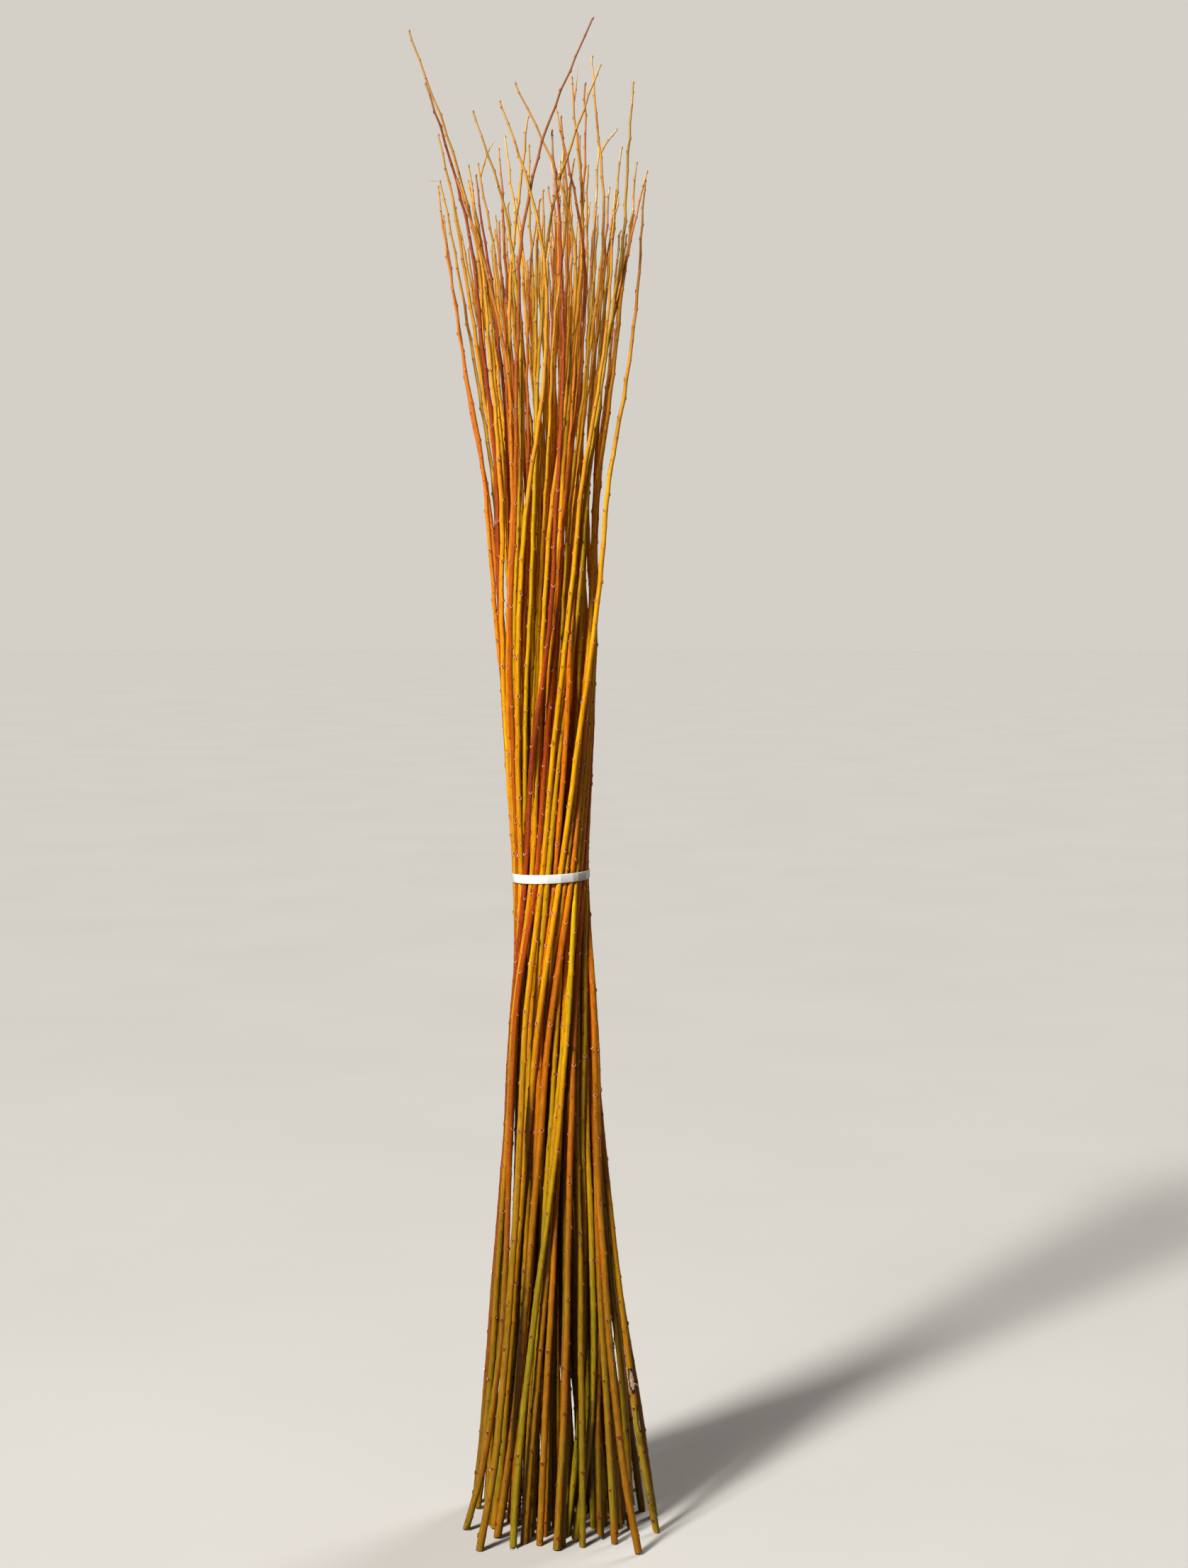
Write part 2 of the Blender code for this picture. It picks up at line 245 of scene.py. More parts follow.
# %% [markdown]
# The solid rods are enough for the form, but the real bundle holds more: thinner ones fill the space
# between them. Each thin rod crosses the tie in a free place. Its line is a mix of the lines of the
# three rods nearest to that place, so it bends as they do, and it ends below the lowest of their tips.
# Away from the tie nothing keeps it clear of other rods, so some thin rods run through a neighbour,
# by up to four millimetres.

# %% The thin rods between the solid ones
THIN_COUNT = 42
THIN_ROOM = 6.9 * MM
THIN_ROOM_STEP = 0.0004 * MM
THIN_LEAST_SHARE = -0.25
THIN_GIRTH = 0.78
THIN_SPREAD = 46 * MM
THIN_END_LENGTH = 0.36
THIN_END_BELOW = (5, 60)
THIN_TAPER = 0.31
THIN_LEVELS = np.linspace(0.0, 1.7, 18)
TIP_RADIUS = 0.9 * MM


def line_at(name, heights):
    """Middle of a rod at the given heights."""
    middles = rod_lines[name][0]
    return smooth_at(middles[:, 2], middles[:, :2], np.minimum(heights, middles[-1, 2]))


at_tie = {name: line_at(name, np.array([tie_middle.z]))[0] for name in rod_names}
tie_centre = np.array(tie_middle[:2])


def free_places():
    """Places in the tie that are free, each with its three nearest rods and their shares."""
    places = []
    taken = list(at_tie.values())
    room = THIN_ROOM
    while len(places) < THIN_COUNT:
        angle = chance.uniform(0, 2 * math.pi)
        reach = THIN_SPREAD * math.sqrt(chance.uniform())
        spot = tie_centre + reach * np.array([math.cos(angle), math.sin(angle)])
        if min(np.linalg.norm(spot - other) for other in taken) < room:
            room -= THIN_ROOM_STEP
            continue
        nearest = sorted(rod_names, key=lambda name: np.linalg.norm(at_tie[name] - spot))[:3]
        corners = np.vstack([np.array([at_tie[name] for name in nearest]).T, np.ones(3)])
        if abs(np.linalg.det(corners)) < 1e-5:
            continue
        shares = np.linalg.solve(corners, np.append(spot, 1.0))
        if shares.min() < THIN_LEAST_SHARE:
            continue
        taken.append(spot)
        places.append((nearest, shares))
    print("thin rods", len(places), "at least", round(room / MM, 1), "mm from the next rod in the tie")
    return places


def thin_line(nearest, shares):
    """Middles and radii of a thin rod, mixed from the three rods round it."""
    tip = min(rod_lines[name][0][-1, 2] for name in nearest)
    tip -= chance.uniform(*THIN_END_BELOW) * MM
    levels = np.append(THIN_LEVELS[THIN_LEVELS < tip - 0.05], tip)
    middles = sum(share * line_at(name, levels) for name, share in zip(nearest, shares))
    butt = max(rod_lines[name][1][0] for name in nearest) * THIN_GIRTH
    left = np.clip((tip - levels) / THIN_END_LENGTH, 0, 1) ** 0.75
    radii = TIP_RADIUS + (butt * (1 - THIN_TAPER * levels) - TIP_RADIUS) * left
    return np.column_stack([middles, levels]), radii


thin_places = free_places()

# %% [markdown]
# Most of the shoots are unbranched, but four of them end in something finer: a short side twig, or a
# dry thread that curls away from the tip. Each was read from the view as a few points, with the
# thickness at each point. They join the rod that they grow on, so they are chains like the rest.

# %% Side twigs and dry threads
TWIG_RINGS = 14
TWIG_BUD_SIZE = 0.6
TWIGS = {
    "rod_23": [
        (-81.5, 110.2, 1853, 1.3), (-76.0, 109.8, 1873, 1.15),
        (-68.6, 109, 1893, 0.8), (-57.7, 108, 1907, 0.3),
    ],
    "rod_35": [
        (82.8, -27.4, 1860, 1.3), (89.0, -28, 1872, 1.25),
        (96.5, -29, 1882.5, 1.15), (105.4, -30, 1892.5, 1.0),
    ],
    "rod_47": [
        (49.0, -66.2, 1922, 1.2), (51.2, -66.5, 1938, 1.0),
        (53.0, -67, 1953, 0.4), (54.5, -68, 1966, 0.2),
    ],
    "rod_29": [
        (-130.3, -22.6, 1826, 0.5), (-135, -22, 1827.5, 0.35),
        (-141, -23, 1827, 0.3), (-146.5, -22.6, 1830, 0.2),
    ],
}
TWIG_BUDS = {"rod_23": (4, 8), "rod_35": (3, 7, 10, 13), "rod_47": (4,), "rod_29": ()}


def side_twig(name):
    """Chain of a side twig, with the same numbers for each ring as a shoot has."""
    points = np.array(TWIGS[name]) * MM
    steps = np.arange(len(points), dtype=float)
    rings = smooth_at(steps, points, np.linspace(0, steps[-1], TWIG_RINGS))
    places = rings[:, :3]
    run = np.gradient(places, axis=0)
    run /= np.linalg.norm(run, axis=1)[:, None]
    bud_way = np.cross(run, (0.3, 1.0, 0.0))
    bud_way /= np.linalg.norm(bud_way, axis=1)[:, None]
    bud_way[::2] *= -1
    bud_size = np.zeros(TWIG_RINGS)
    near = np.zeros(TWIG_RINGS)
    for ring in TWIG_BUDS[name]:
        bud_size[ring] = TWIG_BUD_SIZE
        near[ring] = 1.0
    gaps = np.linalg.norm(np.diff(places, axis=0), axis=1)
    length = np.append(0.0, np.cumsum(gaps))
    return {
        "place": places, "radius": rings[:, 3] * (1 + SWELL_SIZE * near), "run": run, "bud_way": bud_way,
        "bud_size": bud_size, "near": near, "along": length, "tone": np.full(TWIG_RINGS, 0.5),
        "end": length[-1] - length,
    }


twigs = {name: side_twig(name) for name in TWIGS}
print("side twigs", {name: round(float(twig["end"][0]) / MM) for name, twig in twigs.items()}, "mm long")

# %% [markdown]
# One bud is modelled once, at its real size, and the node tree sets it on every joint. It has two
# bodies. The lip is the scar that last year's leaf left: a salmon horseshoe, open at the top. Inside
# it sits the single scale of the bud, a dark flat egg that leans on the bark. The number stored in
# `kind` tells the bark material which is which. The thin rods get a bud without its lip, because
# a shape that is repeated thousands of times should have only a few faces.

# %% The bud and its leaf scar
LIP_HALF_WIDTH = 2.5 * MM
LIP_THICKNESS = 1.0 * MM
LIP_STATIONS = (-0.86, -0.48, 0.0, 0.48, 0.86)
SCALE_RINGS = ((-0.5, 0.85), (0.8, 1.15), (2.0, 0.75))
SCALE_TIP = 3.1
SCALE_SIDES = 5


def close_stack(work, rings, low, high):
    """Join rings of vertices into a closed skin with a point at each end."""
    count = len(rings[0])
    for lower, upper in zip(rings, rings[1:]):
        for index in range(count):
            after = (index + 1) % count
            work.faces.new((lower[index], lower[after], upper[after], upper[index]))
    for index in range(count):
        after = (index + 1) % count
        work.faces.new((low, rings[0][after], rings[0][index]))
        work.faces.new((high, rings[-1][index], rings[-1][after]))


def object_from(name, work):
    """Object whose mesh is what was built in `work`."""
    mesh = bpy.data.meshes.new(name)
    work.to_mesh(mesh)
    work.free()
    return bpy.data.objects.new(name, mesh)


def bud_object(name, with_lip):
    """Bud with X pointing away from the bark and Z along the shoot."""
    work = bmesh.new()
    kind = work.verts.layers.float.new("kind")
    rings = []
    for height, size in SCALE_RINGS:
        ring = []
        for index in range(SCALE_SIDES):
            angle = 2 * math.pi * index / SCALE_SIDES
            out = (0.25 + 0.80 * size * math.cos(angle)) * MM
            ring.append(work.verts.new((out, size * math.sin(angle) * MM, height * MM)))
        rings.append(ring)
    low = work.verts.new((0.0, 0.0, -1.2 * MM))
    high = work.verts.new((0.25 * MM, 0.0, SCALE_TIP * MM))
    close_stack(work, rings, low, high)
    for vertex in work.verts:
        vertex[kind] = 1.0
    if with_lip:
        rings = []
        for share in LIP_STATIONS:
            rise = (-1.9 + 3.9 * share ** 2) * MM
            half = LIP_THICKNESS * (1.0 - 0.35 * share ** 2)
            out = (0.20 - 1.1 * share ** 2) * MM
            slant = 1.1 * share * half
            ends = ((-1.0, 0.0), (0.1, -0.8), (1.0, 0.0), (0.1, 0.8))
            across = share * LIP_HALF_WIDTH
            rings.append([
                work.verts.new((out + x * half, across - z * slant, rise + z * half)) for x, z in ends
            ])
        left = work.verts.new((-1.4 * MM, -LIP_HALF_WIDTH * 0.92, 2.9 * MM))
        right = work.verts.new((-1.4 * MM, LIP_HALF_WIDTH * 0.92, 2.9 * MM))
        close_stack(work, rings, left, right)
        for vertex in [*sum(rings, []), left, right]:
            vertex[kind] = 2.0
    bmesh.ops.recalc_face_normals(work, faces=work.faces)
    return object_from(name, work)


bud = bud_object("bud", True)
plain_bud = bud_object("plain bud", False)
print("faces of a bud", len(bud.data.polygons), "and of a plain one", len(plain_bud.data.polygons))

# %% [markdown]
# The node tree turns a chain of points into a finished rod. It sweeps a circle along the chain, as
# thick as the chain's own radius says, closes the ends, sets a bud on every point that has one, and
# turns each bud so that it stands along the shoot and faces away from it. The sweep also keeps where
# each point lies around the rod and along it, because the bark's streaks have to follow the rod.

# %% Node tree for a rod


def rod_tree():
    tree = bpy.data.node_groups.new("rod with buds", "GeometryNodeTree")
    tree.is_modifier = True
    sockets = tree.interface
    sockets.new_socket(name="Chain", in_out="INPUT", socket_type="NodeSocketGeometry")
    sides = sockets.new_socket(name="Sides", in_out="INPUT", socket_type="NodeSocketInt")
    sides.default_value = 10
    sink = sockets.new_socket(name="Bud sink", in_out="INPUT", socket_type="NodeSocketFloat")
    sink.default_value = 0.94
    sockets.new_socket(name="Bud", in_out="INPUT", socket_type="NodeSocketObject")
    sockets.new_socket(name="Bark", in_out="INPUT", socket_type="NodeSocketMaterial")
    sockets.new_socket(name="Rod", in_out="OUTPUT", socket_type="NodeSocketGeometry")
    nodes, links = tree.nodes, tree.links
    given = nodes.new("NodeGroupInput").outputs
    result = nodes.new("NodeGroupOutput")

    def add(kind, inputs, **settings):
        """Outputs of a new node that has these settings and these links or values at its inputs."""
        node = nodes.new(kind)
        for name, setting in settings.items():
            setattr(node, name, setting)
        for name, value in inputs.items():
            if isinstance(value, bpy.types.NodeSocket):
                links.new(value, node.inputs[name])
            else:
                node.inputs[name].default_value = value
        return node.outputs

    def named(name, kind="FLOAT"):
        return add("GeometryNodeInputNamedAttribute", {"Name": name}, data_type=kind)["Attribute"]

    circle = add("GeometryNodeCurvePrimitiveCircle", {"Radius": 1.0, "Resolution": given["Sides"]})
    position = add("GeometryNodeInputPosition", {})["Position"]
    around = add(
        "GeometryNodeStoreNamedAttribute",
        {"Name": "around", "Geometry": circle["Curve"], "Value": position}, data_type="FLOAT_VECTOR",
    )
    line = add("GeometryNodeMeshToCurve", {"Mesh": given["Chain"]})
    sweep = add("GeometryNodeCurveToMesh", {
        "Fill Caps": True, "Curve": line["Curve"], "Profile Curve": around["Geometry"],
        "Scale": named("radius"),
    })

    reach = add("ShaderNodeMath", {0: named("radius"), 1: given["Bud sink"]}, operation="MULTIPLY")[0]
    way = named("bud_way", "FLOAT_VECTOR")
    offset = add("ShaderNodeVectorMath", {0: way, "Scale": reach}, operation="SCALE")["Vector"]
    spots = add("GeometryNodeSetPosition", {"Geometry": given["Chain"], "Offset": offset})
    facing = add(
        "FunctionNodeAxesToRotation",
        {"Primary Axis": named("run", "FLOAT_VECTOR"), "Secondary Axis": way},
        primary_axis="Z", secondary_axis="X",
    )
    has_bud = add("FunctionNodeCompare", {"A": named("bud_size")}, operation="GREATER_THAN")
    source = add("GeometryNodeObjectInfo", {"Object": given["Bud"]})
    buds = add("GeometryNodeInstanceOnPoints", {
        "Points": spots["Geometry"], "Selection": has_bud["Result"], "Instance": source["Geometry"],
        "Rotation": facing["Rotation"], "Scale": named("bud_size"),
    })

    join = nodes.new("GeometryNodeJoinGeometry")
    links.new(buds["Instances"], join.inputs["Geometry"])
    links.new(sweep["Mesh"], join.inputs["Geometry"])
    real = add("GeometryNodeRealizeInstances", {"Geometry": join.outputs["Geometry"]})
    finish = add("GeometryNodeSetMaterial", {"Geometry": real["Geometry"], "Material": given["Bark"]})
    links.new(finish["Geometry"], result.inputs["Rod"])
    return tree


rod_nodes = rod_tree()
socket_id = {item.name: item.identifier for item in rod_nodes.interface.items_tree if item.in_out == "INPUT"}
print("inputs of the rod tree", sorted(socket_id))

# %% [markdown]
# A material is a chain of nodes. Writing each node and link out would bury what the bark looks like,
# so a small helper adds them: one short call for each mix, ramp or noise. A number that is the same
# all over goes straight onto the shader's own socket.

# %% Helper for materials


class Shader:
    """One material, with short calls that add nodes and link them."""

    def __init__(self, name):
        self.material = bpy.data.materials.new(name)
        self.material.use_nodes = True
        self.nodes = self.material.node_tree.nodes
        self.links = self.material.node_tree.links
        self.surface = self.nodes["Principled BSDF"]

    def plug(self, socket, value):
        if isinstance(value, bpy.types.NodeSocket):
            self.links.new(value, socket)
        elif value is not None:
            socket.default_value = value

    def put(self, name, value):
        """Give the surface's input of this name a value or a link."""
        self.plug(self.surface.inputs[name], value)

    def attribute(self, name, output="Fac"):
        node = self.nodes.new("ShaderNodeAttribute")
        node.attribute_name = name
        return node.outputs[output]

    def place(self):
        return self.nodes.new("ShaderNodeTexCoord").outputs["Object"]

    def math(self, operation, first, second=None, third=None):
        node = self.nodes.new("ShaderNodeMath")
        node.operation = operation
        for socket, value in zip(node.inputs, (first, second, third)):
            self.plug(socket, value)
        return node.outputs[0]

    def product(self, value, *factors):
        for factor in factors:
            value = self.math("MULTIPLY", value, factor)
        return value

    def rescale(self, value, low, high, new_low=0.0, new_high=1.0):
        node = self.nodes.new("ShaderNodeMapRange")
        self.plug(node.inputs["Value"], value)
        limits = {"From Min": low, "From Max": high, "To Min": new_low, "To Max": new_high}
        for name, number in limits.items():
            node.inputs[name].default_value = number
        return node.outputs[0]

    def mix(self, share, first, second, blend="MIX"):
        node = self.nodes.new("ShaderNodeMix")
        node.data_type = "RGBA"
        node.blend_type = blend
        self.plug(node.inputs[0], share)
        for socket, value in ((node.inputs[6], first), (node.inputs[7], second)):
            self.plug(socket, (*value, 1.0) if isinstance(value, tuple) else value)
        return node.outputs[2]

    def vector(self, x, y, z):
        node = self.nodes.new("ShaderNodeCombineXYZ")
        for socket, value in zip(node.inputs, (x, y, z)):
            self.plug(socket, value)
        return node.outputs[0]

    def apart(self, vector):
        node = self.nodes.new("ShaderNodeSeparateXYZ")
        self.plug(node.inputs[0], vector)
        return node.outputs

    def noise(self, vector, scale, detail=3.0):
        node = self.nodes.new("ShaderNodeTexNoise")
        self.plug(node.inputs["Vector"], vector)
        node.inputs["Scale"].default_value = scale
        node.inputs["Detail"].default_value = detail
        return node.outputs["Fac"]

    def cells(self, vector, scale):
        node = self.nodes.new("ShaderNodeTexVoronoi")
        self.plug(node.inputs["Vector"], vector)
        node.inputs["Scale"].default_value = scale
        return node.outputs["Distance"]

    def ramp(self, value, stops):
        node = self.nodes.new("ShaderNodeValToRGB")
        self.plug(node.inputs["Fac"], value)
        elements = node.color_ramp.elements
        while len(elements) < len(stops):
            elements.new(0.5)
        for element, (position, colour) in zip(elements, stops):
            element.position = position
            element.color = (*colour, 1.0)
        return node.outputs["Color"]

    def bump(self, height, strength, distance):
        node = self.nodes.new("ShaderNodeBump")
        node.inputs["Strength"].default_value = strength
        node.inputs["Distance"].default_value = distance
        self.plug(node.inputs["Height"], height)
        self.put("Normal", node.outputs["Normal"])


# %% [markdown]
# Bark is not one colour. These shoots are ochre and a little green where they stood in the shade at
# the foot, and there their colour is also darkened as painted shade, for the dim light low in the bundle.
# They are full yellow, orange or red in the middle, and tan with a straw-coloured end at the tip.
# One side is redder, where the sun was, red patches a hand long come and go, fine streaks run along
# the rod, and small pale pores dot it. So the material mixes: height picks the main colour, and noise
# that follows the rod lays patches and streaks over it.

# %% Colours of the bark
# Each row holds the foot, middle, top and flush colours. The foot colours are partly the bark's own ochre
# and olive and partly painted shade: they are drawn darker to stand for the dim light low in the bundle.
BARK_COLOURS = {
    "golden_bark": ((0.335, 0.165, 0.002), (0.86, 0.44, 0.0), (0.66, 0.33, 0.080), (0.68, 0.145, 0.0)),
    "amber_bark": ((0.330, 0.125, 0.002), (0.84, 0.27, 0.0), (0.60, 0.26, 0.070), (0.52, 0.060, 0.0)),
    "russet_bark": ((0.300, 0.100, 0.002), (0.68, 0.155, 0.002), (0.50, 0.19, 0.080), (0.27, 0.020, 0.002)),
    "crimson_bark": ((0.270, 0.080, 0.002), (0.50, 0.072, 0.006), (0.36, 0.11, 0.060), (0.18, 0.014, 0.004)),
    "olive_bark": ((0.250, 0.175, 0.002), (0.64, 0.39, 0.0), (0.56, 0.32, 0.075), (0.60, 0.22, 0.0)),
}
SHADE_GREEN = (0.205, 0.170, 0.005)
STRAW_COLOUR = (0.80, 0.54, 0.19)
PORE_COLOUR = (0.72, 0.46, 0.18)
SPECK_COLOUR = (0.13, 0.035, 0.008)


def bark_colour(shader, height, streaks, foot, middle, top, flush):
    """Colour of the bark, from the height, the rod's own tone and noise that follows the rod."""
    around = shader.apart(shader.attribute("around", "Vector"))
    along = shader.attribute("along")
    tone = shader.attribute("tone")
    slow = shader.vector(around[0], around[1], shader.product(along, 7.0))
    fine = shader.vector(around[0], around[1], shader.product(along, 150.0))
    patches = shader.noise(slow, 0.8, 2.0)
    drift = shader.rescale(patches, 0.3, 0.7, -0.07, 0.07)
    level = shader.math("ADD", shader.rescale(height, 0.0, 2.05), drift)
    tan = tuple(0.60 * a + 0.40 * b for a, b in zip(middle, top))
    full = tuple(0.60 * a + 0.40 * b for a, b in zip(foot, middle))
    # Painted shade: the ramp starts from the darkened foot colour, so the bark is drawn darker towards the
    # bottom.
    colour = shader.ramp(level, (
        (0.0, foot), (0.16, foot), (0.28, full), (0.40, middle), (0.62, middle), (0.80, tan), (0.97, top),
    ))
    ragged = shader.rescale(patches, 0.3, 0.7, -1, 1)
    sunny = shader.rescale(shader.math("ADD", around[0], ragged), 0, 1.3)
    patchy = shader.rescale(shader.noise(slow, 0.55, 1.0), 0.50, 0.66)
    red = shader.product(
        shader.math("MAXIMUM", shader.product(sunny, 0.75), shader.product(patchy, 0.95)),
        shader.rescale(tone, 0.0, 1.0, 0.42, 1.0),
        shader.rescale(height, 0.15, 0.72, 0.28, 1.0),
        shader.rescale(height, 1.05, 1.75, 1.0, 0.45),
    )
    colour = shader.mix(red, colour, flush)
    mossy = shader.rescale(shader.noise(slow, 0.9, 2.0), 0.46, 0.60)
    mossy = shader.product(mossy, shader.rescale(height, 0.05, 0.85, 0.85, 0.0))
    colour = shader.mix(mossy, colour, SHADE_GREEN)
    straw = shader.product(shader.rescale(shader.attribute("end"), 0.004, 0.050, 0.9, 0.0), tone)
    colour = shader.mix(straw, colour, STRAW_COLOUR)

    lightness = shader.rescale(tone, 0.0, 1.0, 0.78, 1.08)
    mottled = shader.rescale(shader.noise(slow, 3.6, 3.0), 0.34, 0.62, 0.80, 1.08)
    shade = shader.product(lightness, shader.rescale(streaks, 0.3, 0.7, 0.74, 1.16), mottled)
    colour = shader.mix(1.0, colour, shader.vector(shade, shade, shade), "MULTIPLY")
    ringed = shader.rescale(shader.attribute("near"), 0.3, 1.0)
    blotchy = shader.rescale(streaks, 0.4, 0.6, 0.0, 0.40)
    joint = shader.product(ringed, blotchy, shader.rescale(height, 0.25, 0.80, 0.15, 1.0))
    colour = shader.mix(joint, colour, flush)
    pores = shader.rescale(shader.cells(fine, 1.5), 0.08, 0.20, 0.55, 0.0)
    pores = shader.product(pores, shader.rescale(height, 0.2, 0.9, 0.2, 0.8))
    colour = shader.mix(pores, colour, PORE_COLOUR)
    specks = shader.rescale(shader.noise(fine, 0.9, 2.0), 0.64, 0.72, 0.0, 0.75)
    return shader.mix(specks, colour, SPECK_COLOUR), pores


# %% [markdown]
# Other numbers say where it isn't bark. `kind` tells a bud's dark scale from its scar, which is salmon
# in the middle of the rod, dark red at the foot, and hardly differs from the bark at the tip. At the
# cut end `wood` runs from 0 at the bark to 1 at the pith, which draws the rings of the wood. `wound`
# runs from 0 on sound bark through a black rim to bare brown wood, and `stain` marks rotten bark. Bark
# has a waxy gloss. A wound is matt, and cut wood grows matt towards the pith.

# %% Bark
BUD_COLOUR = (0.105, 0.014, 0.006)
SCAR_COLOUR = (0.82, 0.36, 0.21)
LOW_SCAR_COLOUR = (0.22, 0.035, 0.008)
WOOD_COLOUR = (0.84, 0.68, 0.43)
PITH_COLOUR = (0.40, 0.24, 0.10)
DRY_RIM_COLOUR = (0.20, 0.11, 0.035)
WOUND_BLACK = (0.012, 0.008, 0.005)
WOUND_WOOD = (0.33, 0.22, 0.12)
WOUND_PALE = (0.56, 0.38, 0.27)
ROTTEN_COLOUR = (0.040, 0.018, 0.006)


def bark_material(name, foot, middle, top, flush):
    shader = Shader(name)
    height = shader.apart(shader.place())[2]
    around = shader.apart(shader.attribute("around", "Vector"))
    along = shader.attribute("along")
    grain = shader.vector(around[0], around[1], shader.product(along, 28.0))
    streaks = shader.noise(grain, 2.6, 5.0)
    colour, pores = bark_colour(shader, height, streaks, foot, middle, top, flush)

    kind = shader.attribute("kind")
    fade = shader.rescale(height, 1.15, 1.85, 0.90, 0.30)
    is_bud = shader.product(shader.math("COMPARE", kind, 1.0, 0.5), fade)
    is_scar = shader.product(shader.math("COMPARE", kind, 2.0, 0.5), fade)
    colour = shader.mix(is_bud, colour, BUD_COLOUR)
    scar = shader.mix(shader.rescale(height, 0.20, 0.90), LOW_SCAR_COLOUR, SCAR_COLOUR)
    colour = shader.mix(is_scar, colour, scar)
    wood = shader.attribute("wood")
    rings = shader.ramp(wood, (
        (0.0, DRY_RIM_COLOUR), (0.08, flush), (0.14, WOOD_COLOUR),
        (0.80, WOOD_COLOUR), (0.88, PITH_COLOUR), (1.0, PITH_COLOUR),
    ))
    colour = shader.mix(shader.math("GREATER_THAN", wood, 0.002), colour, rings)
    grey = shader.noise(shader.place(), 420.0, 3.0)
    damp = shader.noise(grain, 9.0, 4.0)
    rotten = shader.product(shader.attribute("stain"), shader.rescale(damp, 0.42, 0.60))
    colour = shader.mix(rotten, colour, ROTTEN_COLOUR)
    wound = shader.attribute("wound")
    bare = shader.mix(shader.rescale(grey, 0.45, 0.62), WOUND_WOOD, WOUND_PALE)
    bare = shader.mix(shader.rescale(wound, 0.45, 0.62), WOUND_BLACK, bare)
    colour = shader.mix(shader.rescale(wound, 0.08, 0.16), colour, bare)

    shader.put("Base Color", colour)
    waxy = shader.rescale(streaks, 0.3, 0.7, 0.19, 0.32)
    dry = shader.product(shader.math("MAXIMUM", wound, wood), 0.5)
    shader.put("Roughness", shader.math("ADD", waxy, dry))
    shader.put("Specular IOR Level", 0.5)
    relief = shader.math("ADD", streaks, pores)
    shader.bump(relief, 0.35, 0.25 * MM)
    return shader.material


barks = {name: bark_material(name, *colours) for name, colours in BARK_COLOURS.items()}
print("bark materials", sorted(barks))

# %% [markdown]
# Rods are cut with one snip, a bit slantwise, so from the side a thin pale crescent of wood shows at
# the foot. Every rod is swept a little too long and then cut by a plane through the floor, which is
# tilted its own way. Some cuts were read from the view: two long slants and a few that face the
# front. The plane meets the floor at the lowest point of the cut, since the bundle stands there.

# %% How each foot is cut
FOOT_ZONE = 60 * MM
PLAIN_SLANT = (3, 13)
READ_CUTS = {
    "rod_06": [(-80, 24)], "rod_17": [(-75, 24)], "rod_13": [(-60, 24)], "rod_15": [(-100, 20)],
    "rod_18": [(170, 40), (20, 34)], "rod_19": [(190, 50)], "rod_07": [(-95, 12)], "rod_14": [(10, 3)],
    "rod_05": [(-90, 24)], "rod_12": [(-70, 20)], "rod_10": [(-110, 18)],
}


def cut_foot(work, middle, radius, way, slant):
    """Cut a rod's foot with a plane that rises towards `way` and close it with a face of bare wood."""
    wood = work.verts.layers.float["wood"]
    rise = Vector((math.cos(way), math.sin(way), 0.0))
    lowest = middle - rise * radius
    normal = Vector((-rise.x * math.sin(slant), -rise.y * math.sin(slant), math.cos(slant)))
    lowest.z = 0.0
    near = [face for face in work.faces if face.calc_center_median().z < FOOT_ZONE]
    near += list({edge for face in near for edge in face.edges})
    near += list({vertex for vertex in work.verts if vertex.co.z < FOOT_ZONE})
    cut = bmesh.ops.bisect_plane(work, geom=near, plane_co=lowest, plane_no=normal, clear_inner=True)
    rim = [item for item in cut["geom_cut"] if isinstance(item, bmesh.types.BMEdge)]
    caps = bmesh.ops.holes_fill(work, edges=rim, sides=0)["faces"]
    for vertex in bmesh.ops.poke(work, faces=caps)["verts"]:
        vertex[wood] = 1.0


def cut_feet(mesh, cuts, damage=None):
    """Cut the rods of a mesh. Each cut has the foot's middle and radius, a direction and a slant."""
    mesh.attributes.new("wood", "FLOAT", "POINT")
    work = bmesh.new()
    work.from_mesh(mesh)
    for cut in cuts:
        cut_foot(work, *cut)
    if damage:
        damage(work)
    work.to_mesh(mesh)
    work.free()


def cuts_of(name, shoot):
    middle = Vector(shoot["place"][0])
    middle.z = 0.0
    radius = float(shoot["radius"][0])
    chosen = READ_CUTS.get(name, [(chance.uniform(0, 360), chance.uniform(*PLAIN_SLANT))])
    return [(middle, radius, math.radians(way), math.radians(slant)) for way, slant in chosen]


# %% [markdown]
# Two rods are damaged, and the damage stays. The one that stands furthest right has lost its bark in
# two places: the wood is bare there, a little sunken, with a black swollen rim, a loose fibre hangs
# from it, and the bark below is rotten. Its skin is divided finely there, so that the wound is a real
# hollow. The green rod at the left was torn rather than cut, so short fibres stand out of its foot.

# %% Damage
WOUND_ROD = "rod_21"
FRAYED_ROD = "rod_13"
WOUND_ZONE = (0.118, 0.240)
WOUNDS = ((0.191, 0.225, -80, 58), (0.136, 0.173, -42, 36))
WOUND_DEPTH = 0.9 * MM
WOUND_RIM = 0.50 * MM
WOUND_CUTS = 6
STAINS = ((0.020, 0.066, 1.0), (0.118, 0.136, 0.9), (0.186, 0.228, 0.35))
WOUND_RAGGED = 0.22
HANGING_HEIGHT = 0.203
HANGING_STEPS = ((2.0, -3.2, 1.5), (4.6, -4.2, 0.9), (7.6, -4.4, -1.0), (10.2, -4.0, -4.0))
HANGING_RADIUS = 0.35 * MM
HANGING_SHADE = 0.35
FRAY_COUNT = 16
FRAY_FACING = (-190, -30)
FRAY_HEIGHT = (0.8, 3.2)
FRAY_INSET = (0.8, 0.98)
FRAY_LENGTH = (1.5, 4.6)
FRAY_LIFT = (-0.1, 0.8)
FRAY_RADIUS = (0.22, 0.42)
FRAY_TIP_HEIGHT = 0.5 * MM


